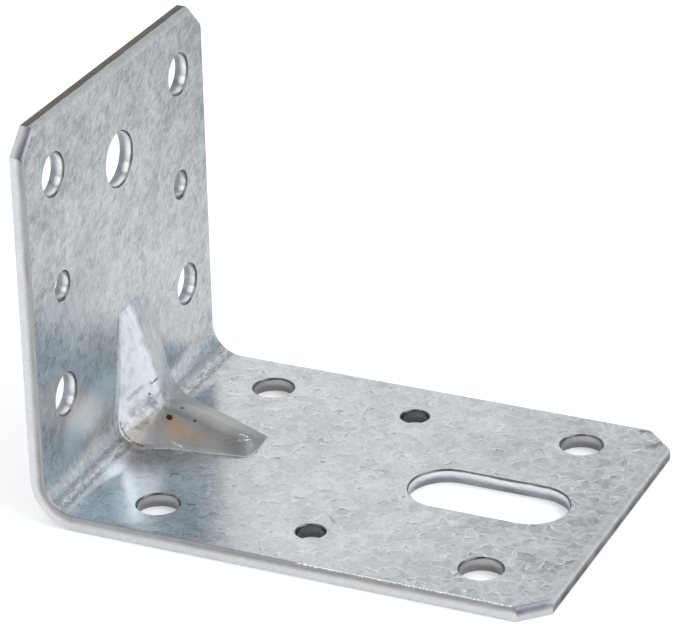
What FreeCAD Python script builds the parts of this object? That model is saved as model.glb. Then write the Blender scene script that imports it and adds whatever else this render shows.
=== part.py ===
import FreeCAD, Part
import math
import os
import Sketcher
from FreeCAD import Placement, Rotation, Vector

# Reinforced angle bracket: one galvanised sheet, punched, folded to a right angle and
# pressed in the fold. Millimetres, +Z up. While it is built, the heel's outer corner lies on
# the Y axis, the base runs along +X and the upright along +Z. The body is then shifted, so
# that the origin is the middle of the footprint, on the surface that the base stands on.

NEAR = 1e-4  # how close two lengths are when they count as the same

DRIVING = {
    # the folded sheet
    "base_length": 90.0,
    "upright_height": 69.5,
    "sheet_width": 64.0,
    "sheet_thickness": 2.5,
    "bend_radius": 5.5,
    "base_corner_cut": 4.4,
    "upright_corner_cut": 4.0,
    "side_rollover": 0.35,
    "end_rollover": 1.1,
    # holes, punched from the inner face
    "screw_hole": 7.2,
    "nail_hole": 4.9,
    "bolt_hole": 9.4,
    "slot_length": 27.8,
    "slot_width": 13.0,
    "hole_rollover": 0.2,
    "breakout_depth": 1.0,
    "breakout_growth": 0.15,
    # where the holes lie: the first two rows from the outer faces, the rest from the free ends
    "screw_hole_spacing": 45.2,
    "nail_hole_spacing": 43.4,
    "base_first_row": 18.5,
    "base_second_row": 45.7,
    "base_end_row": 14.1,
    "slot_from_end": 21.9,
    "upright_first_row": 19.8,
    "upright_second_row": 39.1,
    "upright_end_row": 10.3,
    "bolt_hole_from_end": 16.8,
    # the rib pressed into the fold: sections at its two ends, on each leg near the fold, and
    # across the fold, each with its reach to the near and the far side of the middle of the
    # sheet, where its crest lies, and its height off the sheet before the crest is rounded
    "rib_upright_end_place": 24.6,
    "rib_upright_end_near": 3.6,
    "rib_upright_end_far": 7.8,
    "rib_upright_end_crest": 1.8,
    "rib_upright_end_height": 0.9,
    "rib_upright_side_place": 12.0,
    "rib_upright_side_near": 6.0,
    "rib_upright_side_far": 11.7,
    "rib_upright_side_crest": 0.9,
    "rib_upright_side_height": 5.3,
    "rib_fold_near": 8.0,
    "rib_fold_far": 13.5,
    "rib_fold_crest": 0.5,
    "rib_fold_height": 6.7,
    "rib_base_side_place": 12.0,
    "rib_base_side_near": 4.8,
    "rib_base_side_far": 10.8,
    "rib_base_side_crest": 0.9,
    "rib_base_side_height": 5.8,
    "rib_base_end_place": 24.2,
    "rib_base_end_near": 2.9,
    "rib_base_end_far": 6.0,
    "rib_base_end_crest": 1.2,
    "rib_base_end_height": 1.9,
    "rib_nose_length": 1.6,
    "rib_nose_depth": 0.15,
    "rib_foot_width": 0.4,
    "rib_foot_height": 0.8,
    "rib_foot_share": 0.2,
    "rib_crest_radius": 3.0,
    "rib_hollow_narrowing": 0.4,
}

DERIVED = {
    "base_third_row": "=base_length - base_end_row",
    "slot_position": "=base_length - slot_from_end",
    "upright_third_row": "=upright_height - upright_end_row",
    "bolt_hole_position": "=upright_height - bolt_hole_from_end",
    "fold_centre": "=sheet_thickness + bend_radius",
    # distances along the diagonal of the fold, from the heel's outer corner
    "fold_outer": "=fold_centre * (sqrt(2) - 1)",
    "fold_inner": "=fold_outer + sheet_thickness",
}

doc = FreeCAD.newDocument("angle_bracket")
sizes = doc.addObject("Spreadsheet::Sheet", "Sizes")
for row, (alias, value) in enumerate({**DRIVING, **DERIVED}.items(), start=1):
    sizes.set(f"A{row}", alias)
    sizes.set(f"B{row}", str(value))
    sizes.setAlias(f"B{row}", alias)
doc.recompute()

body = doc.addObject("PartDesign::Body", "AngleBracket")
body.Label = "angle_bracket"


def plane(role):
    return next(p for p in body.Origin.OriginFeatures if p.Role == role)


def size(alias):
    return float(sizes.get(alias))


def new_sketch(name, role, offset=Placement()):
    sketch = body.newObject("Sketcher::SketchObject", name)
    sketch.AttachmentSupport = (plane(role), [""])
    sketch.MapMode = "FlatFace"
    sketch.AttachmentOffset = offset
    return sketch


def worth(expression):
    return float(sizes.evalExpression(expression))


def bind(sketch, kind, *where, to):
    """Adds a dimension that follows an expression on the sheet."""
    index = sketch.addConstraint(Sketcher.Constraint(kind, *where, worth(to)))
    sketch.setExpression(f"Constraints[{index}]", to)


def place_point(sketch, geo, pos, across, up):
    """Ties a point to two expressions; one that starts with a minus lies on the other side."""
    for kind, expression in (("DistanceX", across), ("DistanceY", up)):
        if expression is None:
            continue
        if expression.startswith("-"):
            bind(sketch, kind, geo, pos, -1, 1, to=expression[1:])
        else:
            bind(sketch, kind, -1, 1, geo, pos, to=expression)


def edges_where(test):
    """Names of the edges of the body's last shape that pass a test."""
    return [f"Edge{i}" for i, edge in enumerate(body.Tip.Shape.Edges, start=1) if test(edge)]


def dress(kind, name, edges, size_name, alias):
    """A fillet or chamfer on edges of the last feature."""
    base = body.Tip
    feature = body.newObject(kind, name)
    feature.Base = (base, edges)
    feature.setExpression(size_name, f"Sizes.{alias}")
    base.Visibility = False
    doc.recompute()


def folded_sheet():
    """The L of the sheet's section, with its bend, padded over the width."""
    thickness, centre = size("sheet_thickness"), size("fold_centre")
    length, height = size("base_length"), size("upright_height")
    sketch = new_sketch("SheetSection", "XZ_Plane")
    corners = [
        (centre, 0), (length, 0), (length, thickness), (centre, thickness),
        (thickness, centre), (thickness, height), (0, height), (0, centre),
    ]
    points = [Vector(x, z, 0) for x, z in corners]
    middle = Vector(centre, centre, 0)

    def bend(radius):
        circle = Part.Circle(middle, Vector(0, 0, 1), radius)
        return Part.ArcOfCircle(circle, math.pi, 1.5 * math.pi)

    sketch.addGeometry(Part.LineSegment(points[0], points[1]))
    sketch.addGeometry(Part.LineSegment(points[1], points[2]))
    sketch.addGeometry(Part.LineSegment(points[2], points[3]))
    sketch.addGeometry(bend(size("bend_radius")))
    sketch.addGeometry(Part.LineSegment(points[4], points[5]))
    sketch.addGeometry(Part.LineSegment(points[5], points[6]))
    sketch.addGeometry(Part.LineSegment(points[6], points[7]))
    sketch.addGeometry(bend(centre))
    under, end, top, inner, face, crown, back, outer = range(8)
    for first, second in ((under, end), (end, top), (face, crown), (crown, back)):
        sketch.addConstraint(Sketcher.Constraint("Coincident", first, 2, second, 1))
    sketch.addConstraint(Sketcher.Constraint("Tangent", top, 2, inner, 2))
    sketch.addConstraint(Sketcher.Constraint("Tangent", inner, 1, face, 1))
    sketch.addConstraint(Sketcher.Constraint("Tangent", back, 2, outer, 1))
    sketch.addConstraint(Sketcher.Constraint("Tangent", outer, 2, under, 1))
    sketch.addConstraint(Sketcher.Constraint("Coincident", inner, 3, outer, 3))
    for line in (end, face, back):
        sketch.addConstraint(Sketcher.Constraint("Vertical", line))
    for line in (under, top, crown):
        sketch.addConstraint(Sketcher.Constraint("Horizontal", line))
    sketch.addConstraint(Sketcher.Constraint("PointOnObject", end, 1, -1))
    sketch.addConstraint(Sketcher.Constraint("PointOnObject", back, 1, -2))
    bind(sketch, "DistanceX", -1, 1, end, 1, to="Sizes.base_length")
    bind(sketch, "DistanceY", -1, 1, back, 1, to="Sizes.upright_height")
    bind(sketch, "DistanceY", end, 1, end, 2, to="Sizes.sheet_thickness")
    bind(sketch, "Radius", inner, to="Sizes.bend_radius")

    pad = body.newObject("PartDesign::Pad", "FoldedSheet")
    pad.Profile = sketch
    pad.Midplane = True
    pad.setExpression("Length", "Sizes.sheet_width")
    sketch.Visibility = False
    doc.recompute()


def cut_corners():
    """The 45 degree cuts at the four free corners."""
    half_width, half_thickness = size("sheet_width") / 2, size("sheet_thickness") / 2

    def corner_edges(x, z):
        corners = [Vector(x, side * half_width, z) for side in (-1, 1)]
        return edges_where(
            lambda edge: any(edge.CenterOfMass.distanceToPoint(at) < NEAR for at in corners))

    base_edges = corner_edges(size("base_length"), half_thickness)
    dress("PartDesign::Chamfer", "BaseCornerCuts", base_edges, "Size", "base_corner_cut")
    upright_edges = corner_edges(half_thickness, size("upright_height"))
    dress("PartDesign::Chamfer", "UprightCornerCuts", upright_edges, "Size", "upright_corner_cut")


def round_hole(sketch, across, up, radius):
    start = Part.Circle(Vector(worth(across), worth(up), 0), Vector(0, 0, 1), worth(radius))
    circle = sketch.addGeometry(start)
    place_point(sketch, circle, 3, across, up)
    bind(sketch, "Radius", circle, to=radius)


def hole_pair(sketch, row, spacing, radius):
    """One hole on each side of the middle of the sheet, at the same distance from the fold."""
    for side in ("", "-"):
        across = f"{side}Sizes.{spacing} / 2"
        if sketch.Name.startswith("Base"):
            round_hole(sketch, f"Sizes.{row}", across, radius)
        else:
            round_hole(sketch, across, f"Sizes.{row}", radius)


def slot(sketch, radius):
    """A long hole on the middle line of the base, with round ends."""
    reach = "(Sizes.slot_length - Sizes.slot_width) / 2"
    ends = f"Sizes.slot_position - {reach}", f"Sizes.slot_position + {reach}"
    r, up = worth(radius), Vector(0, 0, 1)
    inner, outer = (Vector(worth(end), 0, 0) for end in ends)
    side = Vector(0, r, 0)
    start_arc = sketch.addGeometry(
        Part.ArcOfCircle(Part.Circle(inner, up, r), math.pi / 2, 1.5 * math.pi))
    near = sketch.addGeometry(Part.LineSegment(inner - side, outer - side))
    end_arc = sketch.addGeometry(
        Part.ArcOfCircle(Part.Circle(outer, up, r), -math.pi / 2, math.pi / 2))
    far = sketch.addGeometry(Part.LineSegment(outer + side, inner + side))
    for first, second in ((start_arc, near), (near, end_arc), (end_arc, far), (far, start_arc)):
        sketch.addConstraint(Sketcher.Constraint("Tangent", first, 2, second, 1))
    sketch.addConstraint(Sketcher.Constraint("Horizontal", near))
    place_point(sketch, start_arc, 3, ends[0], None)
    place_point(sketch, end_arc, 3, ends[1], None)
    sketch.addConstraint(Sketcher.Constraint("PointOnObject", start_arc, 3, -1))
    sketch.addConstraint(Sketcher.Constraint("PointOnObject", end_arc, 3, -1))
    bind(sketch, "Radius", end_arc, to=radius)


def punch(leg, role, draw):
    """Cuts a leg's holes straight through, then widens them where they break out of the
    outer face."""
    for stage, growth in (("Holes", "0"), ("Breakouts", "Sizes.breakout_growth")):
        sketch = new_sketch(leg + stage + "Outline", role)
        draw(sketch, growth)
        doc.recompute()
        pocket = body.newObject("PartDesign::Pocket", leg + stage)
        pocket.Profile = sketch
        pocket.Reversed = True
        if stage == "Holes":
            pocket.Type = "ThroughAll"
        else:
            pocket.Type = "Length"
            pocket.setExpression("Length", "Sizes.breakout_depth")
            pocket.setExpression("TaperAngle", "-atan(Sizes.breakout_growth / Sizes.breakout_depth)")
        sketch.Visibility = False
        doc.recompute()


def draw_base(sketch, growth):
    screw, nail = f"Sizes.screw_hole / 2 + {growth}", f"Sizes.nail_hole / 2 + {growth}"
    hole_pair(sketch, "base_first_row", "screw_hole_spacing", screw)
    hole_pair(sketch, "base_second_row", "nail_hole_spacing", nail)
    hole_pair(sketch, "base_third_row", "screw_hole_spacing", screw)
    slot(sketch, f"Sizes.slot_width / 2 + {growth}")


def draw_upright(sketch, growth):
    screw, nail = f"Sizes.screw_hole / 2 + {growth}", f"Sizes.nail_hole / 2 + {growth}"
    hole_pair(sketch, "upright_first_row", "screw_hole_spacing", screw)
    hole_pair(sketch, "upright_second_row", "nail_hole_spacing", nail)
    hole_pair(sketch, "upright_third_row", "screw_hole_spacing", screw)
    round_hole(sketch, "0", "Sizes.bolt_hole_position", f"Sizes.bolt_hole / 2 + {growth}")


def in_inner_face(edge):
    thickness, centre, box = size("sheet_thickness"), size("fold_centre"), edge.BoundBox
    on_base = abs(box.ZMin - thickness) < NEAR and abs(box.ZMax - thickness) < NEAR
    on_upright = abs(box.XMin - thickness) < NEAR and abs(box.XMax - thickness) < NEAR
    return on_base and box.XMax > centre + NEAR or on_upright and box.ZMax > centre + NEAR


def at_rim(edge):
    """Whether an edge of an inner face is part of the sheet's own outline."""
    half = size("sheet_width") / 2
    box = edge.BoundBox
    return (
        max(abs(box.YMin), abs(box.YMax)) > half - NEAR
        or box.XMax > size("base_length") - NEAR
        or box.ZMax > size("upright_height") - NEAR
    )


def roll_edges():
    """The rounding that the tool leaves where it enters the sheet, on the inner faces."""
    centre = size("fold_centre")

    def hole_rim(edge):
        return in_inner_face(edge) and not at_rim(edge)

    def sheet_rim(edge):
        middle = edge.valueAt((edge.FirstParameter + edge.LastParameter) / 2)
        off_centre = Vector(middle.x - centre, 0, middle.z - centre).Length
        in_bend = abs(off_centre - size("bend_radius")) < NEAR and edge.BoundBox.YLength < NEAR
        return in_bend or in_inner_face(edge) and at_rim(edge)

    def end_rim(edge):
        return sheet_rim(edge) and edge.BoundBox.YLength > NEAR

    def side_rim(edge):
        return sheet_rim(edge) and edge.BoundBox.YLength < NEAR

    dress("PartDesign::Chamfer", "HoleRollover", edges_where(hole_rim), "Size", "hole_rollover")
    dress("PartDesign::Fillet", "EndRollover", edges_where(end_rim), "Radius", "end_rollover")
    dress("PartDesign::Fillet", "SideRollover", edges_where(side_rim), "Radius", "side_rollover")


def rib_section(name, role, offset, distance, near, far, crest, foot_up, base_up, top_up, radius):
    """One section of the rib or of its hollow. Across is the sheet's width; up leads away from
    the outer face. The feet are short steep walls, and the crest is an arc between two flanks."""
    sketch = new_sketch(name, role, offset)
    if distance:
        sketch.setExpression("AttachmentOffset.Base.z", distance)
    point = {
        "near_low": Vector(-worth(near), worth(base_up), 0),
        "near_high": Vector(-worth(near) + worth("Sizes.rib_foot_width"), worth(foot_up), 0),
        "apex": Vector(worth(crest), worth(top_up), 0),
        "far_high": Vector(worth(far) - worth("Sizes.rib_foot_width"), worth(foot_up), 0),
        "far_low": Vector(worth(far), worth(base_up), 0),
    }
    to_near = (point["near_high"] - point["apex"]).normalize()
    to_far = (point["far_high"] - point["apex"]).normalize()
    inward = (to_near + to_far).normalize()
    half_angle = inward.getAngle(to_near)
    reach = worth(radius) / math.tan(half_angle)
    middle = point["apex"] + inward * (worth(radius) / math.sin(half_angle))
    touch_near, touch_far = point["apex"] + to_near * reach, point["apex"] + to_far * reach
    points = [
        point["near_low"], point["near_high"], touch_near,
        touch_far, point["far_high"], point["far_low"],
    ]
    near_foot = sketch.addGeometry(Part.LineSegment(points[0], points[1]))
    near_flank = sketch.addGeometry(Part.LineSegment(points[1], points[2]))
    round_top = sketch.addGeometry(
        Part.Arc(touch_far, middle - inward * worth(radius), touch_near))
    far_flank = sketch.addGeometry(Part.LineSegment(points[3], points[4]))
    far_foot = sketch.addGeometry(Part.LineSegment(points[4], points[5]))
    bottom = sketch.addGeometry(Part.LineSegment(points[5], points[0]))
    apex = sketch.addGeometry(Part.Point(point["apex"]), True)
    for first, second in ((near_foot, near_flank), (far_flank, far_foot),
                          (far_foot, bottom), (bottom, near_foot)):
        sketch.addConstraint(Sketcher.Constraint("Coincident", first, 2, second, 1))
    # the arc runs anticlockwise, so it starts at the far flank
    sketch.addConstraint(Sketcher.Constraint("Tangent", near_flank, 2, round_top, 2))
    sketch.addConstraint(Sketcher.Constraint("Tangent", round_top, 1, far_flank, 1))
    sketch.addConstraint(Sketcher.Constraint("Horizontal", bottom))
    sketch.addConstraint(Sketcher.Constraint("PointOnObject", apex, 1, near_flank))
    sketch.addConstraint(Sketcher.Constraint("PointOnObject", apex, 1, far_flank))
    place_point(sketch, near_foot, 1, f"-({near})", base_up)
    place_point(sketch, near_foot, 2, f"-({near} - Sizes.rib_foot_width)", foot_up)
    place_point(sketch, far_flank, 2, f"{far} - Sizes.rib_foot_width", foot_up)
    place_point(sketch, far_foot, 2, far, None)
    place_point(sketch, apex, 1, crest, top_up)
    bind(sketch, "Radius", round_top, to=radius)
    sketch.Visibility = False
    doc.recompute()
    return sketch


UPRIGHT_TURN = Rotation(Vector(1, 1, 0), 180)  # across along +Y, up along +X
FOLD_TURN = Rotation(Vector(1, 0, 0), 45)  # across along +Y, up along the fold's diagonal


def loft_rib(kind, name, leg_face, fold_face, root, narrowing):
    """Sections from the rib's end on the upright, round the fold, to its end on the base. The
    faces are where the height is taken from, and the root is how far below them it starts."""
    shares = (1.0, 0.7, 0.4, 0.2, 0.0)  # of the way from the fold's side to the end
    upright_plane, base_plane = ("XY_Plane", UPRIGHT_TURN), ("YZ_Plane", Rotation())
    sections = []

    def add(station, attachment, width, face, top, foot):
        role, turn = attachment
        sections.append(rib_section(
            f"{name}_{station}", role, Placement(Vector(), turn), distance=width("place"),
            near=f"{width('near')} - {narrowing}", far=f"{width('far')} - {narrowing}",
            crest=width("crest"), base_up=f"{face} - {root}", foot_up=f"{face} + ({foot})",
            top_up=f"{face} + ({top})", radius="Sizes.rib_crest_radius",
        ))

    def add_on_leg(leg, attachment, share):
        def width(what):
            end, side = f"Sizes.rib_{leg}_end_{what}", f"Sizes.rib_{leg}_side_{what}"
            return f"({end} * {share} + {side} * {1 - share})"
        foot = f"min(Sizes.rib_foot_height; {width('height')} * Sizes.rib_foot_share)"
        add(f"{leg}_{int(share * 10)}", attachment, width, leg_face, width("height"), foot)

    def add_nose(leg, attachment):
        def width(what):
            end = f"Sizes.rib_{leg}_end_{what}"
            return f"({end} + Sizes.rib_nose_length)" if what == "place" else end
        add(f"{leg}_nose", attachment, width, leg_face,
            "-Sizes.rib_nose_depth", "-2 * Sizes.rib_nose_depth")

    def fold_width(what):
        return None if what == "place" else f"Sizes.rib_fold_{what}"

    add_nose("upright", upright_plane)
    for share in shares:
        add_on_leg("upright", upright_plane, share)
    add("fold", ("YZ_Plane", FOLD_TURN), fold_width, fold_face,
        fold_width("height"), "Sizes.rib_foot_height")
    for share in reversed(shares):
        add_on_leg("base", base_plane, share)
    add_nose("base", base_plane)
    loft = body.newObject(kind, name)
    loft.Profile = sections[0]
    loft.Sections = sections[1:]
    doc.recompute()


folded_sheet()
cut_corners()
punch("Base", "XY_Plane", draw_base)
punch("Upright", "YZ_Plane", draw_upright)
roll_edges()
loft_rib("PartDesign::AdditiveLoft", "Rib", "Sizes.sheet_thickness", "Sizes.fold_inner",
         root="Sizes.sheet_thickness / 2", narrowing="0")
loft_rib("PartDesign::SubtractiveLoft", "RibHollow", "0", "Sizes.fold_outer",
         root="Sizes.sheet_thickness", narrowing="Sizes.rib_hollow_narrowing")
body.setExpression("Placement.Base.x", "-Sizes.base_length / 2")
doc.recompute()

for item in doc.Objects:
    state = set(item.State) & {"Invalid", "Error"}
    shape = getattr(item, "Shape", None)
    if state or (shape is not None and (shape.isNull() or not shape.isValid())):
        raise RuntimeError(f"{item.Label} did not build: {sorted(state)}")
if len(body.Shape.Solids) != 1:
    raise RuntimeError("the bracket is not one solid")

os.makedirs("parts", exist_ok=True)
body.Shape.exportStep("parts/angle_bracket.step")
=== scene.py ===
import math

import bpy
from mathutils import Matrix, Vector


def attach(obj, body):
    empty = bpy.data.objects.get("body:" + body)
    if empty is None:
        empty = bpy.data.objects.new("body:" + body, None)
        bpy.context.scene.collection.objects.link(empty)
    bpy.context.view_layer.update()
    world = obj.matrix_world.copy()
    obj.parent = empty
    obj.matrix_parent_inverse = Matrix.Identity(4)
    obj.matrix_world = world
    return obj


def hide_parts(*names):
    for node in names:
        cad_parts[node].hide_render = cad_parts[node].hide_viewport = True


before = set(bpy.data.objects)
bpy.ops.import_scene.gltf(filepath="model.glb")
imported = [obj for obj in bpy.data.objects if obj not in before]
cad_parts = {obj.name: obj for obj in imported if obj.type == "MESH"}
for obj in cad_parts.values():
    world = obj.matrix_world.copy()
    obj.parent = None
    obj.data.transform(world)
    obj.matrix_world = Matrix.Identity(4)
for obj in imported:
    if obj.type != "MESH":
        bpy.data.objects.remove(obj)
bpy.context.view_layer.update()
mm = 0.001

# the folded sheet, in millimetres: x counts from the upright's outer face, y from the middle of
# the sheet and z from the underside
sheet = {
    "length": 90.0,
    "height": 69.5,
    "width": 64.0,
    "thickness": 2.5,
    "bendRadius": 5.5,
    "cornerReach": 4.6,  # how far a corner cut and its rollover go along an edge
    "sideReach": 0.4,  # how far in from a side its rollover goes
    "endReach": 0.03,  # how far in from an end its cut face still counts
    "wallReach": 0.6,  # how far from a hole's outline its wall and rims go
    # round holes: how far along the leg, how far to each side of the middle, radius
    "baseHoles": ((18.5, 22.6, 3.6), (45.7, 21.7, 2.45), (75.9, 22.6, 3.6)),
    "uprightHoles": ((19.8, 22.6, 3.6), (39.1, 21.7, 2.45), (59.2, 22.6, 3.6), (52.7, 0, 4.7)),
    "slot": (68.1, 7.4, 6.5),  # its middle, half its straight part, its radius
    "sharpFrom": 28,  # degrees between two faces that show as an edge
}
heel = -sheet["length"] / 2  # where the upright's outer face is, in the frame's x
bendCentre = sheet["thickness"] + sheet["bendRadius"]
halfWidth = sheet["width"] / 2


def linear(hexColour):
    channels = [int(hexColour[i:i + 2], 16) / 255 for i in (1, 3, 5)]
    return [c / 12.92 if c <= 0.04045 else ((c + 0.055) / 1.055) ** 2.4 for c in channels] + [1.0]


def addNode(tree, kind, inputs, output=0, **settings):
    # adds a node with its settings and links, and hands back the output that is used next
    node = tree.nodes.new("ShaderNode" + kind)
    for name, value in settings.items():
        setattr(node, name, value)
    for name, value in inputs.items():
        if isinstance(value, bpy.types.NodeSocket):
            tree.links.new(value, node.inputs[name])
        else:
            node.inputs[name].default_value = value
    return node.outputs[output] if node.outputs else node


def newMaterial(name):
    material = bpy.data.materials.new(name)
    material.use_nodes = True
    material.node_tree.nodes.clear()
    return material, material.node_tree


def place(x, y, z):
    return Vector((x + heel, y, z)) * mm


def millimetres(tree):
    # object coordinates as millimetres from the heel
    coords = addNode(tree, "TexCoord", {}, "Object")
    return addNode(tree, "Mapping", {
        "Vector": coords, "Location": (-heel, 0, 0), "Scale": (1 / mm,) * 3})


def offInnerFace(point):
    # millimetres that a point stands off the inner faces: below 0 in the sheet, above on the rib
    x, z = point.x / mm - heel, point.z / mm
    if x < bendCentre and z < bendCentre:
        return sheet["bendRadius"] - math.hypot(x - bendCentre, z - bendCentre)
    beyond = 99.0  # farther than any leg is thick
    offBase = z if x >= bendCentre else beyond
    offUpright = x if z >= bendCentre else beyond
    return min(offBase, offUpright) - sheet["thickness"]


def distanceToHole(x, y, z):
    onBase = x > z
    along = x if onBase else z
    holes = sheet["baseHoles"] if onBase else sheet["uprightHoles"]
    nearest = min(abs(math.hypot(along - centre, abs(y) - across) - radius)
                  for centre, across, radius in holes)
    if onBase:
        middle, straight, radius = sheet["slot"]
        beyond = max(abs(x - middle) - straight, 0)
        nearest = min(nearest, abs(math.hypot(beyond, y) - radius))
    return nearest


def surfaceKind(polygon):
    # the surface that a face belongs to, from where it lies and which way it looks
    centre, normal = polygon.center / mm, polygon.normal
    x, y, z = centre.x - heel, centre.y, centre.z
    toSide = halfWidth - abs(y)
    toEnd, toTop = sheet["length"] - x, sheet["height"] - z
    atCorner = max(toSide, min(toEnd, toTop)) < sheet["cornerReach"]
    if atCorner and 0.3 < abs(normal.y) < 0.9:
        return "croppedSteelCorner"
    if abs(normal.y) > 0.2 and toSide < sheet["sideReach"]:
        return "shearedSteelEdge"
    if toEnd < sheet["endReach"]:
        return "shearedSteelEnd"
    if toTop < sheet["endReach"]:
        return "tornSteelEnd"
    throughSheet = normal.z if x > z else normal.x
    if abs(throughSheet) < 0.9 and distanceToHole(x, y, z) < sheet["wallReach"]:
        return "punchedSteelWall"
    return "hotDipGalvanisedSteelSheet"


def sheetCopy():
    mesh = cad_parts["angle_bracket"].data.copy()
    mesh.name = "foldedSheet"
    mesh.materials.clear()
    depths = mesh.attributes.new("offInnerFace", "FLOAT", "POINT")
    depths.data.foreach_set("value", [offInnerFace(vertex.co) for vertex in mesh.vertices])
    piece = bpy.data.objects.new("foldedSheet", mesh)
    bpy.context.scene.collection.objects.link(piece)
    return piece


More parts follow.
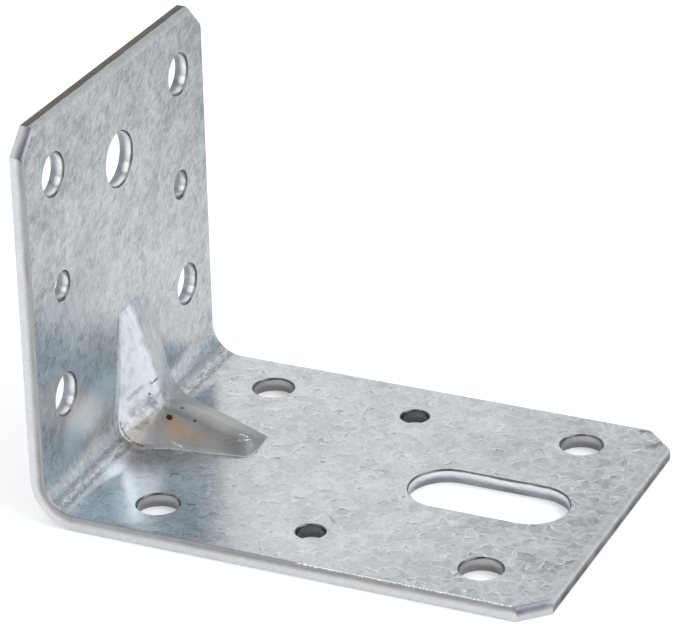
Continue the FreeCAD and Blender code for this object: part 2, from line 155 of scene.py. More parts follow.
zincLook = {
    "light": "#CFD3D6",
    "dark": "#7A7F82",
    "toneRange": (0.15, 0.98),  # the tones that come out darkest and lightest
    # sizes in mm
    "crystal": 2.6,  # across one zinc crystal
    "frosting": 0.55,  # the grain inside a crystal: finer on the real sheet, but this shows
    "mottle": 1.6,
    "patch": 14.0,  # slow changes of the bath's film
    "fleck": 1.9,  # between the dark flecks in the zinc
    "seamPatch": 2.4,  # the runs of seam that catch the light
    "bends": (2.4, 3.4),  # how long and how far the crystals' outlines bend
    "rolled": (0.0, 0.8, 0.6),  # the way the upright's sheet was rolled
    "drawnOut": 0.55,  # the share by which the frosting is drawn out that way
    "lightOverSeams": (-0.14, 0.28, 0.12),  # how far to the side their painted lit flanks lie
    "scuffReach": 1.25,  # how far the blade scuffed the zinc from the free end and the top
    "foldStrip": (43, 61),  # degrees round the bend, between which the zinc is crushed
    # how much each pattern adds to the tone
    "toneStart": 0.08,
    "tones": {
        "crystal": 0.16, "paintedSeamShade": 0.50, "middle": 1.0, "frosting": 0.60, "mottle": 0.25,
        # onUpright is painted shade: the whole upright is a tone darker than the base
        "patch": 0.40, "onUpright": -0.18, "speckle": 0.3,
    },
    # where the tone falls off: along which axis, from where, to where, by how much. Those along z
    # darken the upright towards its top: painted shade
    "fades": (("x", 56.0, 90.0, -0.20), ("z", 26.0, 42.0, -0.13), ("z", 46.0, 69.0, -0.16)),
    "farSideShade": (8.0, 30.0, -0.13),  # the same across the upright: painted shade on its far side
    # washes in the order they are laid on: colour, how far it takes over
    "washes": {
        "seam": ("#D9DCDE", 0.12),  # the raised seams between crystals
        "groove": ("#969B9F", 0.3),
        "fleck": ("#7F7D7C", 0.35),
        "atEnd": ("#BDBBB8", 0.55),  # scuffed where the blade drew the sheet over
        "strip": ("#B2AEAF", 0.7),  # zinc that the fold has crushed
        "cracked": ("#7F7D7C", 0.85),
        # painted highlight along the middle of the crushed strip
        "ridgeHighlight": ("#D9DCDE", 0.55),
        "flankHighlight": ("#D4DAE0", 0.85),  # painted highlight on the rib's near flank
        "ribShade": ("#ADAAA9", 0.8),  # painted shade, darker and browner, on the rib's flank over the base
        "smudge": ("#969B9F", 0.45),
        # painted shade over the rib's crest on the base
        "crest": ("#7F7D7C", 0.42),
        "nose": ("#7F7D7C", 0.7),  # the rib's end on the base
    },
    # roughness: of dark and of light zinc, and what each place adds
    "roughness": (0.15, 0.27),
    "rougher": {"strip": 0.12, "onRib": 0.16, "atEnd": 0.22, "onUpright": 0.12},
    # mm that each pattern stands out
    "relief": {
        "crystal": 0.004, "mottle": 0.018, "frosting": 0.010, "seam": 0.008, "cracked": -0.012,
    },
    "fray": (0.4, 0.8),  # mm, how long and how far the marks' outlines fray
    "wear": 0.9,  # mm, the gaps in the marks that are worn through
    "wornFrom": 4,  # softer marks than this are worn through
    # scratches, specks and stains, and some painted highlights, reflections and shade (noted at
    # each): from, to, radius, softness, colour, strength
    "marks": (
        ((4.6, -5.6, 5.5), (9.5, -2.6, 7.2), 0.3, 8.0, "#98938F", 0.7),
        # painted shade: a dark patch that dulls the highlight on the rib's near flank
        ((7.2, -1.6, 9.4), (8.4, -0.8, 8.6), 0.2, 7.0, "#6F6E72", 0.8),
        ((10.7, -1.7, 6.1), (12.6, -2.4, 5.2), 0.2, 8.0, "#BD9463", 0.75),
        ((11.5, -2.2, 5.6), (16.0, -2.6, 4.3), 0.3, 7.0, "#C6AA8C", 0.65),
        ((10.1, -1.35, 6.75), (10.4, -1.35, 6.6), 0.30, 1.0, "#3B2414", 0.95),
        ((6.7, -0.6, 12.1), (7.1, 0.6, 12.5), 0.10, 2.0, "#5A5A5A", 0.9),
        ((6.62, -1.44, 10.5), (6.62, -1.3, 10.5), 0.16, 1.0, "#4F4D50", 0.9),
        ((11.45, 0.7, 7.7), (11.75, 0.9, 7.6), 0.14, 1.4, "#4F4D4A", 0.9),
        ((14.5, -0.4, 6.4), (14.6, -0.3, 6.3), 0.14, 1.6, "#5C5552", 0.8),
        ((4.3, -4.6, 10.6), (5.8, -2.0, 12.0), 0.05, 12.0, "#85888E", 0.75),
        ((5.2, -4.6, 8.3), (7.2, -1.8, 8.9), 0.2, 8.0, "#85848A", 0.8),
        ((6.0, -5.3, 5.7), (7.2, -3.7, 6.3), 0.05, 14.0, "#7A7068", 0.75),
        ((11.9, -4.1, 3.6), (13.8, -4.2, 3.1), 0.04, 6.0, "#FFFFFF", 0.7),
        # painted shade: a dark line along the crease by the rib's near foot
        ((3.7, -6.9, 7.3), (4.2, -7.2, 5.9), 0.05, 3.0, "#6A6056", 0.75),
        ((4.2, -7.2, 5.9), (4.9, -7.1, 4.9), 0.06, 3.0, "#5E554B", 0.8),
        ((4.9, -7.1, 4.9), (6.1, -7.0, 3.9), 0.06, 3.0, "#5E554B", 0.8),
        ((6.1, -7.0, 3.9), (7.6, -6.3, 3.1), 0.05, 3.0, "#6A6056", 0.75),
        ((22.4, 0.8, 4.8), (23.8, 1.0, 4.4), 0.06, 2.0, "#F2F4F6", 0.9),
        ((22.7, -0.6, 4.2), (24.3, 0.7, 4.1), 0.06, 2.0, "#EEF0F2", 0.8),
        ((29.8, -0.9, 2.5), (30.2, -0.8, 2.5), 0.14, 2.0, "#74797C", 0.7),
        ((37.6, 0.7, 2.5), (37.9, 0.8, 2.5), 0.16, 2.0, "#767A7C", 0.7),
        ((47.0, 1.1, 2.5), (49.4, 1.9, 2.5), 0.07, 2.5, "#6E7375", 0.7),
        ((38.7, -12.4, 2.5), (40.2, -11.8, 2.5), 0.08, 2.5, "#7A7F82", 0.7),
        ((48.2, -17.7, 2.5), (46.7, -16.2, 2.5), 0.08, 3.0, "#84898C", 0.7),
        ((16.0, -12.5, 2.5), (17.0, -12.1, 2.5), 0.12, 2.0, "#63696E", 0.8),
        ((23.1, -20.9, 2.5), (24.2, -20.6, 2.5), 0.12, 2.0, "#676D72", 0.8),
        ((9.2, -22.8, 2.5), (9.9, -22.4, 2.5), 0.14, 2.0, "#5F676D", 0.8),
        ((88.3, 27.9, 2.5), (86.9, 26.0, 2.5), 0.15, 7.0, "#55595E", 0.95),
        ((85.2, 31.2, 2.5), (83.6, 30.9, 2.5), 0.12, 6.0, "#55595E", 0.95),
        # a painted reflection: a pale blue patch on the upright beside the rib's foot
        ((2.5, -20.5, 12.0), (2.5, -9.5, 14.0), 1.6, 2.4, "#D3E3EC", 0.6),
        # a painted reflection: a light band on the base beside the rib's foot
        ((7.0, -14.8, 2.8), (16.0, -28.5, 2.5), 0.9, 2.8, "#F4F8FA", 0.55),
        ((2.5, -1.3, 40.3), (2.5, -0.9, 39.5), 0.14, 2.0, "#7C8083", 0.7),
    ),
}


def sheetFields(tree, look):
    # where a point lies on the sheet, and the two grains that all its finishes share
    spot = millimetres(tree)
    axes = addNode(tree, "SeparateXYZ", {"Vector": spot}).node
    field = {"spot": spot}
    field["x"], field["y"], field["z"] = (axes.outputs[name] for name in "XYZ")
    field["offFace"] = addNode(tree, "Attribute", {}, "Fac", attribute_name="offInnerFace")
    lean = addNode(tree, "Math", {0: field["z"], 1: field["x"]}, operation="SUBTRACT")
    field["lean"] = lean
    onUpright = addNode(tree, "MapRange", {"Value": lean, "From Min": -1.5, "From Max": 1.5})
    field["onUpright"] = onUpright

    # on the upright the frosting is drawn out along the way the sheet was rolled
    rolled = Vector(look["rolled"])
    drawn = addNode(tree, "VectorMath", {0: spot, 1: rolled}, "Value", operation="DOT_PRODUCT")
    drawn = addNode(tree, "Math", {0: drawn, 1: onUpright}, operation="MULTIPLY")
    drawn = addNode(tree, "VectorMath", {0: rolled * -look["drawnOut"], "Scale": drawn},
                    operation="SCALE")
    drawn = addNode(tree, "VectorMath", {0: spot, 1: drawn}, operation="ADD")
    field["frosting"] = addNode(tree, "TexNoise", {
        "Vector": drawn, "Scale": 1 / look["frosting"], "Detail": 3.0, "Roughness": 0.6})
    field["mottle"] = addNode(tree, "TexNoise", {
        "Vector": spot, "Scale": 1 / look["mottle"], "Detail": 2.0})
    return field


def zincCrystals(tree, look, field):
    # crystals with bent outlines: a tone for each, and a thin seam round part of it
    spot, frosting, mottle = field["spot"], field["frosting"], field["mottle"]
    length, reach = look["bends"]
    bent = addNode(tree, "TexNoise", {"Vector": spot, "Scale": 1 / length, "Detail": 0.6}, "Color")
    bent = addNode(tree, "VectorMath", {0: bent, 1: (reach,) * 3, 2: spot},
                   operation="MULTIPLY_ADD")
    crystal = addNode(tree, "TexVoronoi", {"Vector": bent, "Scale": 1 / look["crystal"]}, "Color")
    field["crystal"] = addNode(tree, "SeparateColor", {"Color": crystal}, "Red")
    field["patch"] = addNode(tree, "TexNoise", {
        "Vector": spot, "Scale": 1 / look["patch"], "Detail": 2.0})

    # how far the nearest seam is, from here and from a little to the side
    ragged = addNode(tree, "MapRange", {
        "Value": frosting, "From Min": 0.3, "From Max": 0.7, "To Min": -0.05, "To Max": 0.09})
    aside = addNode(tree, "VectorMath", {0: bent, 1: look["lightOverSeams"]}, operation="ADD")
    distances, flanks = [], []
    for position in (bent, aside):
        distance = addNode(tree, "TexVoronoi", {
            "Vector": position, "Scale": 1 / look["crystal"]}, feature="DISTANCE_TO_EDGE")
        distance = addNode(tree, "Math", {0: distance, 1: ragged}, operation="ADD")
        distances.append(distance)
        flanks.append(addNode(tree, "MapRange", {
            "Value": distance, "From Min": 0.0, "From Max": 0.13, "To Min": 1.0, "To Max": 0.0}))
    toSeam = distances[0]
    seam = addNode(tree, "MapRange", {
        "Value": toSeam, "From Min": 0.0, "From Max": 0.07, "To Min": 1.0, "To Max": 0.0},
        interpolation_type="SMOOTHSTEP")
    seamShown = addNode(tree, "MapRange", {"Value": mottle, "From Min": 0.44, "From Max": 0.6})
    field["seam"] = addNode(tree, "Math", {0: seam, 1: seamShown}, operation="MULTIPLY")
    field["groove"] = addNode(tree, "MapRange", {
        "Value": mottle, "From Min": 0.0, "From Max": 0.34, "To Min": 1.0, "To Max": 0.0},
        interpolation_type="SMOOTHSTEP")

    # painted light and shade: each raised seam is painted dark on one side and light on the other
    paintedSeamShade = addNode(tree, "Math", {0: flanks[0], 1: flanks[1]}, operation="SUBTRACT")
    shown = addNode(tree, "TexNoise", {
        "Vector": spot, "Scale": 1 / look["seamPatch"], "Detail": 1.0})
    shown = addNode(tree, "MapRange", {"Value": shown, "From Min": 0.49, "From Max": 0.62})
    paintedSeamShade = addNode(tree, "Math", {0: paintedSeamShade, 1: shown}, operation="MULTIPLY")
    faded = addNode(tree, "Math", {0: field["onUpright"], 1: -0.8, 2: 1.0},
                    operation="MULTIPLY_ADD")
    field["paintedSeamShade"] = addNode(tree, "Math", {0: paintedSeamShade, 1: faded}, operation="MULTIPLY")

    # the middle of each crystal is duller towards the free end
    middle = addNode(tree, "MapRange", {
        "Value": toSeam, "From Min": 0.04, "From Max": 0.3, "To Max": -1.0},
        interpolation_type="SMOOTHSTEP")
    nearEnd = addNode(tree, "MapRange", {
        "Value": field["x"], "From Min": 50.0, "From Max": 84.0, "To Min": 0.05, "To Max": 0.17})
    middle = addNode(tree, "Math", {0: middle, 1: nearEnd}, operation="MULTIPLY")
    field["middle"] = addNode(tree, "Math", {0: middle, 1: faded}, operation="MULTIPLY")

    # dark flecks in some of the cells of a finer pattern, longer than they are wide
    flat = addNode(tree, "VectorMath", {0: bent, 1: (1.0, 1.0, 0.6)}, operation="MULTIPLY")
    flecks = addNode(tree, "TexVoronoi", {"Vector": flat, "Scale": 1 / look["fleck"]}).node
    fleck = addNode(tree, "MapRange", {
        "Value": flecks.outputs["Distance"], "From Min": 0.07, "From Max": 0.16,
        "To Min": 1.0, "To Max": 0.0})
    chance = addNode(tree, "SeparateColor", {"Color": flecks.outputs["Color"]}, "Green")
    chance = addNode(tree, "MapRange", {"Value": chance, "From Min": 0.62, "From Max": 0.95})
    field["fleck"] = addNode(tree, "Math", {0: fleck, 1: chance}, operation="MULTIPLY")
    speckle = addNode(tree, "Math", {0: frosting, 1: 0.5}, operation="SUBTRACT")
    field["speckle"] = addNode(tree, "Math", {0: speckle, 1: field["onUpright"]},
                               operation="MULTIPLY")


def foldWear(tree, look, field):
    # the angle round the bend, in radians from the base's side, wandering a little
    wander = 0.14
    overBase = addNode(tree, "Math", {0: bendCentre, 1: field["z"]}, operation="SUBTRACT")
    overUpright = addNode(tree, "Math", {0: bendCentre, 1: field["x"]}, operation="SUBTRACT")
    angle = addNode(tree, "Math", {0: overBase, 1: overUpright}, operation="ARCTAN2")
    angle = addNode(tree, "Math", {0: field["mottle"], 1: wander, 2: angle},
                    operation="MULTIPLY_ADD")
    farSide = addNode(tree, "MapRange", {
        "Value": field["y"], "From Min": 0.0, "From Max": 9.0, "To Max": -0.16})
    late = addNode(tree, "MapRange", {"Value": angle, "From Min": 0.9, "From Max": 1.2})
    farSide = addNode(tree, "Math", {0: farSide, 1: late}, operation="MULTIPLY")
    angle = addNode(tree, "Math", {0: farSide, 1: angle}, operation="ADD")
    first, last = (math.radians(edge) + wander / 2 for edge in look["foldStrip"])

    # the crushed strip, and a painted highlight along the middle of it, on the lit wrinkles
    begins = addNode(tree, "MapRange", {
        "Value": angle, "From Min": first - 0.10, "From Max": first + 0.04})
    ends = addNode(tree, "MapRange", {
        "Value": angle, "From Min": last - 0.02, "From Max": last + 0.30,
        "To Min": 1.0, "To Max": 0.0})
    field["strip"] = addNode(tree, "Math", {0: begins, 1: ends}, operation="MULTIPLY")
    fromMiddle = addNode(tree, "Math", {0: angle, 1: (first + last) / 2 + 0.04},
                         operation="SUBTRACT")
    fromMiddle = addNode(tree, "Math", {0: fromMiddle}, operation="ABSOLUTE")
    ridgeHighlight = addNode(tree, "MapRange", {
        "Value": fromMiddle, "From Min": 0.02, "From Max": 0.10, "To Min": 1.0, "To Max": 0.0})
    wrinkle = addNode(tree, "VectorMath", {0: field["spot"], 1: (2.2, 0.6, 2.2)},
                      operation="MULTIPLY")
    wrinkle = addNode(tree, "TexNoise", {
        "Vector": wrinkle, "Scale": 1.0, "Detail": 4.0, "Roughness": 0.7})
    lit = addNode(tree, "MapRange", {"Value": wrinkle, "From Min": 0.40, "From Max": 0.55})
    field["ridgeHighlight"] = addNode(tree, "Math", {0: ridgeHighlight, 1: lit}, operation="MULTIPLY")

    # cracks in the strip, and a broken dark line along each side of it
    cracks = addNode(tree, "MapRange", {
        "Value": wrinkle, "From Min": 0.40, "From Max": 0.56, "To Min": 0.7, "To Max": 0.0})
    broken = addNode(tree, "MapRange", {
        "Value": field["frosting"], "From Min": 0.42, "From Max": 0.56})
    for edge, width in ((first, 0.09), (last, 0.08)):
        line = addNode(tree, "Math", {0: angle, 1: edge}, operation="SUBTRACT")
        line = addNode(tree, "Math", {0: line}, operation="ABSOLUTE")
        line = addNode(tree, "MapRange", {
            "Value": line, "From Min": width / 2, "From Max": width * 1.5,
            "To Min": 1.0, "To Max": 0.0})
        line = addNode(tree, "Math", {0: line, 1: broken}, operation="MULTIPLY")
        cracks = addNode(tree, "Math", {0: line, 1: cracks}, operation="MAXIMUM")
    pastFirst = addNode(tree, "MapRange", {
        "Value": angle, "From Min": first - 0.14, "From Max": first - 0.06})
    beforeLast = addNode(tree, "MapRange", {
        "Value": angle, "From Min": last + 0.06, "From Max": last + 0.12,
        "To Min": 1.0, "To Max": 0.0})
    cracks = addNode(tree, "Math", {0: cracks, 1: pastFirst}, operation="MULTIPLY")
    field["cracked"] = addNode(tree, "Math", {0: cracks, 1: beforeLast}, operation="MULTIPLY")


def toolWear(tree, look, field):
    # the zinc beside the free end and the top end, scuffed where the blade bent it
    scuffed = look["scuffReach"]
    toEnd = addNode(tree, "Math", {0: sheet["length"] - scuffed, 1: field["x"]},
                    operation="SUBTRACT")
    toTop = addNode(tree, "Math", {0: sheet["height"] - scuffed, 1: field["z"]},
                    operation="SUBTRACT")
    atEnd = addNode(tree, "Math", {0: toEnd, 1: toTop}, operation="MINIMUM")
    atEnd = addNode(tree, "Math", {0: field["frosting"], 1: -0.9, 2: atEnd},
                    operation="MULTIPLY_ADD")
    field["atEnd"] = addNode(tree, "MapRange", {
        "Value": atEnd, "From Min": -0.55, "From Max": -0.3, "To Min": 1.0, "To Max": 0.0})

    # the rib: a painted highlight on the near flank over the upright, painted shade on the flank
    # and crest over the base
    onRib = addNode(tree, "MapRange", {
        "Value": field["offFace"], "From Min": 0.02, "From Max": 0.25})
    field["onRib"] = onRib
    near = addNode(tree, "MapRange", {"Value": field["y"], "From Min": 1.2, "From Max": 0.2})
    smear = addNode(tree, "Math", {0: field["mottle"], 1: 12.0, 2: field["lean"]},
                    operation="MULTIPLY_ADD")
    smear = addNode(tree, "Math", {0: field["frosting"], 1: 7.0, 2: smear},
                    operation="MULTIPLY_ADD")
    towardsUpright = addNode(tree, "MapRange", {
        "Value": smear, "From Min": 8.0, "From Max": 13.0}, interpolation_type="SMOOTHSTEP")
    flankHighlight = addNode(tree, "Math", {0: onRib, 1: near}, operation="MULTIPLY")
    field["flankHighlight"] = addNode(tree, "Math", {0: flankHighlight, 1: towardsUpright},
                               operation="MULTIPLY")
    ribShade = addNode(tree, "Math", {0: 1.0, 1: towardsUpright}, operation="SUBTRACT")
    ribShade = addNode(tree, "Math", {0: ribShade, 1: onRib}, operation="MULTIPLY")
    field["ribShade"] = ribShade
    overCrest = addNode(tree, "MapRange", {
        "Value": field["y"], "From Min": -2.6, "From Max": 0.6})
    field["crest"] = addNode(tree, "Math", {0: overCrest, 1: ribShade}, operation="MULTIPLY")
    nose = addNode(tree, "MapRange", {"Value": field["x"], "From Min": 19.5, "From Max": 23.5})
    field["nose"] = addNode(tree, "Math", {0: nose, 1: onRib}, operation="MULTIPLY")
    smudge = addNode(tree, "VectorMath", {0: field["spot"], 1: (0.5, 0.9, 0.45)},
                     operation="MULTIPLY")
    smudge = addNode(tree, "TexNoise", {
        "Vector": smudge, "Scale": 1.0, "Detail": 4.0, "Roughness": 0.6})
    smudge = addNode(tree, "MapRange", {"Value": smudge, "From Min": 0.5, "From Max": 0.68})
    field["smudge"] = addNode(tree, "Math", {0: smudge, 1: onRib}, operation="MULTIPLY")


def withMarks(tree, look, field, colour):
    # each mark is a soft rod through the zinc of the inner side, with a ragged outline
    spot = field["spot"]
    length, reach = look["fray"]
    frayed = addNode(tree, "TexNoise", {
        "Vector": spot, "Scale": 1 / length, "Detail": 2.0}, "Color")
    frayed = addNode(tree, "VectorMath", {0: frayed, 1: (reach,) * 3, 2: spot},
                     operation="MULTIPLY_ADD")
    frayed = addNode(tree, "VectorMath", {0: frayed, 1: (reach / 2,) * 3},
                     operation="SUBTRACT")
    onInside = addNode(tree, "MapRange", {
        "Value": field["offFace"], "From Min": -0.9, "From Max": -0.5})
    worn = addNode(tree, "TexNoise", {
        "Vector": spot, "Scale": 1 / look["wear"], "Detail": 4.0, "Roughness": 0.65})
    worn = addNode(tree, "MapRange", {
        "Value": worn, "From Min": 0.34, "From Max": 0.62, "To Min": 0.3})
    worn = addNode(tree, "Math", {0: worn, 1: onInside}, operation="MULTIPLY")
    for start, end, radius, softness, hexColour, strength in look["marks"]:
        start, way = Vector(start), Vector(end) - Vector(start)
        offset = addNode(tree, "VectorMath", {0: frayed, 1: start}, operation="SUBTRACT")
        along = addNode(tree, "VectorMath", {0: offset, 1: way / way.length_squared},
                        "Value", operation="DOT_PRODUCT")
        along = addNode(tree, "Clamp", {"Value": along})
        nearest = addNode(tree, "VectorMath", {0: way, "Scale": along}, operation="SCALE")
        gap = addNode(tree, "VectorMath", {0: offset, 1: nearest}, "Value",
                      operation="DISTANCE")
        mask = addNode(tree, "MapRange", {
            "Value": gap, "From Min": radius, "From Max": radius * (1 + softness),
            "To Min": strength, "To Max": 0.0}, interpolation_type="SMOOTHSTEP")
        shown = worn if softness > look["wornFrom"] else onInside
        mask = addNode(tree, "Math", {0: mask, 1: shown}, operation="MULTIPLY")
        colour = addNode(tree, "Mix", {0: mask, 6: colour, 7: linear(hexColour)}, 2,
                         data_type="RGBA")
    return colour


def galvanisedSheet(name, look):
    # hot-dip galvanised steel: a cast skin of zinc. It reads as flat grey crystals, near mirrors
    # with raised seams and a fine frosting, dull and cracked where the sheet was folded
    material, tree = newMaterial(name)
    field = sheetFields(tree, look)
    zincCrystals(tree, look, field)
    foldWear(tree, look, field)
    toolWear(tree, look, field)

    tone = look["toneStart"]
    for pattern, share in look["tones"].items():
        tone = addNode(tree, "Math", {0: field[pattern], 1: share, 2: tone},
                       operation="MULTIPLY_ADD")
    for axis, low, high, drop in look["fades"]:
        fade = addNode(tree, "MapRange", {
            "Value": field[axis], "From Min": low, "From Max": high, "To Max": drop})
        tone = addNode(tree, "Math", {0: fade, 1: tone}, operation="ADD")
    low, high, drop = look["farSideShade"]
    fade = addNode(tree, "MapRange", {
        "Value": field["y"], "From Min": low, "From Max": high, "To Max": drop})
    tone = addNode(tree, "Math", {0: fade, 1: field["onUpright"], 2: tone},
                   operation="MULTIPLY_ADD")
    darkest, lightest = look["toneRange"]
    share = addNode(tree, "MapRange", {
        "Value": tone, "From Min": darkest, "From Max": lightest})
    colour = addNode(tree, "Mix", {0: share, 6: linear(look["dark"]), 7: linear(look["light"])},
                     2, data_type="RGBA")
    for pattern, (hexColour, strength) in look["washes"].items():
        mask = addNode(tree, "Math", {0: field[pattern], 1: strength}, operation="MULTIPLY")
        colour = addNode(tree, "Mix", {0: mask, 6: colour, 7: linear(hexColour)}, 2,
                         data_type="RGBA")
    colour = withMarks(tree, look, field, colour)

    smooth, rough = look["roughness"]
    roughness = addNode(tree, "MapRange", {
        "Value": tone, "From Min": 0.45, "From Max": 0.98, "To Min": smooth, "To Max": rough})
    for pattern, more in look["rougher"].items():
        roughness = addNode(tree, "Math", {0: field[pattern], 1: more, 2: roughness},
                            operation="MULTIPLY_ADD")
    relief = 0.0
    for pattern, height in look["relief"].items():
        relief = addNode(tree, "Math", {0: field[pattern], 1: height, 2: relief},
                         operation="MULTIPLY_ADD")
    bump = addNode(tree, "Bump", {"Height": relief, "Distance": mm, "Strength": 1.0})
    shader = addNode(tree, "BsdfPrincipled", {
        "Base Color": colour, "Metallic": 1.0, "Roughness": roughness, "Normal": bump})
    addNode(tree, "OutputMaterial", {"Surface": shader})
    return material


# cut edges, from the inner face down: the rim, the band that the tool rubbed as it entered and
# the band where it broke out. Depths are shares of the sheet's thickness
edgeLook = {
    "shearedSteelEdge": {
        "rim": "#9C9B9A", "toolEntry": "#8C8B8B", "breakout": "#D0D2D4",
        "rimDepth": 0.16, "split": 0.44, "polished": 0.3, "roughness": 0.4,
        "arrisGlint": ("#F4F5F6", 47.5),  # a painted highlight on the near side's arris, and the x that it starts at
    },
    "croppedSteelCorner": {
        "rim": "#8E8D95", "toolEntry": "#6F6F7B", "breakout": "#C4C5C8",
        "rimDepth": 0.16, "split": 0.6, "polished": 0.3, "roughness": 0.4,
    },
    "shearedSteelEnd": {
        "rim": "#B3B5B5", "toolEntry": "#9EA0A0", "breakout": "#3E3831",
        "rimDepth": 0.16, "split": 0.50, "polished": 0.3, "roughness": 0.4,
    },
    "punchedSteelWall": {
        "rim": "#5A5B5C", "toolEntry": "#E1E4E9", "breakout": "#7F8388",
        "rimDepth": 0.16, "split": 0.50, "polished": 0.3, "roughness": 0.22,
        # painted shade in the round holes of the base: the middle's x, the colour and how far it
        # takes over
        "holeShade": ((18.5, "#7E7C77", 0.6), (45.7, "#4A4A45", 0.85), (75.9, "#7E7C77", 0.6)),
    },
    "tornSteelEnd": {
        "rim": "#B4B5B5", "toolEntry": "#4E473E", "breakout": "#5A5349",
        "rimDepth": 0.46, "split": 0.6, "polished": 0.05, "roughness": 0.5,
    },
}
edgeSteel = {
    "polish": "#C0C3C8",  # streaks that the tool left bright
    "dull": "#74777B",
    "dullShare": 0.22,
    # sizes in mm
    "grain": 0.3,  # the torn steel's grit: finer on the real sheet, but this shows
    "wander": 2.5,  # how long the waves in the bands are
    "streak": 6.0,
    "holeAcross": (22.2, 5.5),  # how far the round holes lie from the middle, and their reach
}


def cutEdge(name, look):
    # bare steel, sheared or punched: it reads as a smooth bright band over a torn, duller one
    material, tree = newMaterial(name)
    spot = millimetres(tree)
    axes = addNode(tree, "SeparateXYZ", {"Vector": spot}).node
    offFace = addNode(tree, "Attribute", {}, "Fac", attribute_name="offInnerFace")
    depth = addNode(tree, "Math", {0: offFace, 1: -1 / sheet["thickness"]},
                    operation="MULTIPLY")
    wander = addNode(tree, "TexNoise", {
        "Vector": spot, "Scale": 1 / edgeSteel["wander"], "Detail": 3.0})
    grain = addNode(tree, "TexNoise", {
        "Vector": spot, "Scale": 1 / edgeSteel["grain"], "Detail": 2.0})
    streak = addNode(tree, "TexNoise", {
        "Vector": spot, "Scale": 1 / edgeSteel["streak"], "Detail": 4.0})
    band = addNode(tree, "Math", {0: wander, 1: 0.16, 2: depth}, operation="MULTIPLY_ADD")
    parted = addNode(tree, "MapRange", {
        "Value": band, "From Min": look["split"] - 0.16, "From Max": look["split"] + 0.28},
        interpolation_type="SMOOTHSTEP")
    colour = addNode(tree, "Mix", {
        0: parted, 6: linear(look["toolEntry"]), 7: linear(look["breakout"])}, 2,
        data_type="RGBA")
    polished = addNode(tree, "MapRange", {
        "Value": streak, "From Min": 0.42, "From Max": 0.62, "To Max": look["polished"]})
    colour = addNode(tree, "Mix", {0: polished, 6: colour, 7: linear(edgeSteel["polish"])}, 2,
                     data_type="RGBA")
    if "holeShade" in look:
        across, reach = edgeSteel["holeAcross"]
        outwards = addNode(tree, "Math", {0: axes.outputs["Y"]}, operation="ABSOLUTE")
        level = addNode(tree, "CombineXYZ", {"X": axes.outputs["X"], "Y": outwards})
        for centre, hexColour, strength in look["holeShade"]:
            away = addNode(tree, "VectorMath", {0: level, 1: (centre, across, 0)}, "Value",
                           operation="DISTANCE")
            inHole = addNode(tree, "Math", {0: away, 1: reach}, operation="LESS_THAN")
            inHole = addNode(tree, "Math", {0: inHole, 1: strength}, operation="MULTIPLY")
            colour = addNode(tree, "Mix", {0: inHole, 6: colour, 7: linear(hexColour)}, 2,
                             data_type="RGBA")
    atRim = addNode(tree, "MapRange", {
        "Value": band, "From Min": look["rimDepth"], "From Max": look["rimDepth"] + 0.1,
        "To Min": 1.0, "To Max": 0.0})
    colour = addNode(tree, "Mix", {0: atRim, 6: colour, 7: linear(look["rim"])}, 2,
                     data_type="RGBA")
    dull = addNode(tree, "MapRange", {
        "Value": grain, "From Min": 0.35, "From Max": 0.75, "To Max": edgeSteel["dullShare"]})
    colour = addNode(tree, "Mix", {0: dull, 6: colour, 7: linear(edgeSteel["dull"])}, 2,
                     data_type="RGBA")
    metallic = 1.0
    if "arrisGlint" in look:
        # a painted highlight, white and not metallic, on the near side's arris, from where the
        # blade bit hardest
        hexColour, start = look["arrisGlint"]
        started = addNode(tree, "MapRange", {
            "Value": axes.outputs["X"], "From Min": start, "From Max": start + 1.0})
        nearSide = addNode(tree, "Math", {0: axes.outputs["Y"], 1: 0.0}, operation="LESS_THAN")
        teeth = addNode(tree, "Math", {0: grain, 1: 0.22, 2: depth}, operation="MULTIPLY_ADD")
        arrisGlint = addNode(tree, "MapRange", {
            "Value": teeth, "From Min": 0.13, "From Max": 0.16, "To Min": 1.0, "To Max": 0.0})
        arrisGlint = addNode(tree, "Math", {0: arrisGlint, 1: started}, operation="MULTIPLY")
        arrisGlint = addNode(tree, "Math", {0: arrisGlint, 1: nearSide}, operation="MULTIPLY")
        colour = addNode(tree, "Mix", {0: arrisGlint, 6: colour, 7: linear(hexColour)}, 2,
                         data_type="RGBA")
        metallic = addNode(tree, "Math", {0: 1.0, 1: arrisGlint}, operation="SUBTRACT")
    relief = addNode(tree, "Math", {0: grain, 1: 0.012}, operation="MULTIPLY")
    bump = addNode(tree, "Bump", {"Height": relief, "Distance": mm, "Strength": 1.0})
    shader = addNode(tree, "BsdfPrincipled", {
        "Base Color": colour, "Metallic": metallic, "Roughness": look["roughness"],
        "Normal": bump})
    addNode(tree, "OutputMaterial", {"Surface": shader})
    return material


zincName = "hotDipGalvanisedSteelSheet"
surfaces = {zincName: galvanisedSheet(zincName, zincLook)}
for name, look in edgeLook.items():
    surfaces[name] = cutEdge(name, look)
print("materials:", ", ".join(surfaces))

bracket = sheetCopy()
for material in surfaces.values():
    bracket.data.materials.append(material)
slots = list(surfaces)
for polygon in bracket.data.polygons:
    polygon.use_smooth = True
    polygon.material_index = slots.index(surfaceKind(polygon))
bracket.data.set_sharp_from_angle(angle=math.radians(sheet["sharpFrom"]))
weigh = bracket.modifiers.new("flatFacesStayFlat", "WEIGHTED_NORMAL")
weigh.keep_sharp = True
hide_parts("angle_bracket")
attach(bracket, "root")
print("bracket:", len(bracket.data.polygons), "faces")

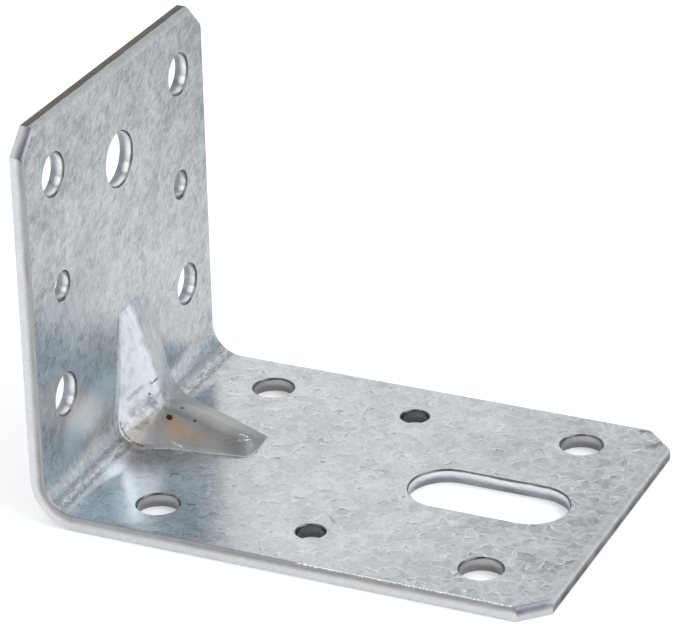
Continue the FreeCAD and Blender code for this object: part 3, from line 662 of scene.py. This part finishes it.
studio = {
    "floorColour": "#FCFCFC",
    "floorReach": 1.6,  # metres to each side
    "floorDrop": 0.0001,  # just below the bracket's underside
    "floorGlow": 0.22,  # the paper is lit from below too
    "walls": "#FFFFFF",
    "strength": 1.10,
    # darker parts of the tent: where they lie, the cosines where they begin and are full, tint
    "openings": (
        ((0.42, 0.79, 0.44), 0.84, 0.97, "#DEEDF8"),
        ((-0.05, -0.50, 0.86), 0.62, 0.92, "#A6A7A9"),
    ),
    # panels: name, where it hangs in metres, its size, its power in watts
    "panels": (
        ("keyPanel", (0.55, 0.0, 0.45), 0.58, 1.9),
        ("fillPanel", (-0.295, -0.45, 0.6), 0.5, 0.8),
    ),
    "panelsLookAt": (45, 0, 20),  # mm, on the sheet
}

# matt uncoated paper: no gloss at all, an even white
paper, paperTree = newMaterial("mattPaperSweep")
paperColour = linear(studio["floorColour"])
paperShader = addNode(paperTree, "BsdfPrincipled", {
    "Base Color": paperColour, "Roughness": 0.9,
    "Emission Color": paperColour, "Emission Strength": studio["floorGlow"]})
addNode(paperTree, "OutputMaterial", {"Surface": paperShader})
reach = studio["floorReach"]
floorMesh = bpy.data.meshes.new("studioFloor")
floorMesh.from_pydata(
    [(-reach, -reach, 0), (reach, -reach, 0), (reach, reach, 0), (-reach, reach, 0)],
    [], [(0, 1, 2, 3)])
floorMesh.materials.append(paper)
floor = bpy.data.objects.new("studioFloor", floorMesh)
bpy.context.scene.collection.objects.link(floor)
floor.location.z = -studio["floorDrop"]

# a white tent all round, with a darker opening behind on the right and one overhead in front
world = bpy.data.worlds.new("softTent")
bpy.context.scene.world = world
world.use_nodes = True
tent = world.node_tree
tent.nodes.clear()
towards = addNode(tent, "TexCoord", {}, "Generated")
cloth = linear(studio["walls"])
for centre, rim, core, tint in studio["openings"]:
    facing = addNode(tent, "VectorMath", {0: towards, 1: Vector(centre).normalized()}, "Value",
                     operation="DOT_PRODUCT")
    inside = addNode(tent, "MapRange", {"Value": facing, "From Min": rim, "From Max": core},
                     interpolation_type="SMOOTHSTEP")
    cloth = addNode(tent, "Mix", {0: inside, 6: cloth, 7: linear(tint)}, 2, data_type="RGBA")
sky = addNode(tent, "Background", {"Color": cloth, "Strength": studio["strength"]})
addNode(tent, "OutputWorld", {"Surface": sky})

for name, position, size, power in studio["panels"]:
    light = bpy.data.lights.new(name, "AREA")
    light.size = size
    light.energy = power
    lamp = bpy.data.objects.new(name, light)
    bpy.context.scene.collection.objects.link(lamp)
    lamp.location = position
    aim = place(*studio["panelsLookAt"]) - Vector(position)
    lamp.rotation_euler = aim.to_track_quat("-Z", "Y").to_euler()

# the camera that fits the photograph: a long lens, 26 degrees above the floor
shot = {
    "position": (268.963, -496.314, 296.590),
    "right": (0.9134431902, 0.4064029359, -0.0214054186),
    "down": (0.1601530400, -0.4073223872, -0.8991326246),
    "forward": (-0.3741290446, 0.8178784302, -0.4371525265),
    "lens": 195.82,
    "sensor": 36,
    "farthest": 20,  # metres
}
cameraData = bpy.data.cameras.new("productCamera")
cameraData.sensor_width = shot["sensor"]
cameraData.lens = shot["lens"]
cameraData.clip_end = shot["farthest"]
camera = bpy.data.objects.new("productCamera", cameraData)
bpy.context.scene.collection.objects.link(camera)
turn = Matrix((shot["right"], -Vector(shot["down"]), -Vector(shot["forward"]))).transposed()
camera.matrix_world = Matrix.Translation(place(*shot["position"])) @ turn.to_4x4()
bpy.context.scene.camera = camera
bpy.context.scene.view_settings.view_transform = "Standard"
print("studio ready")
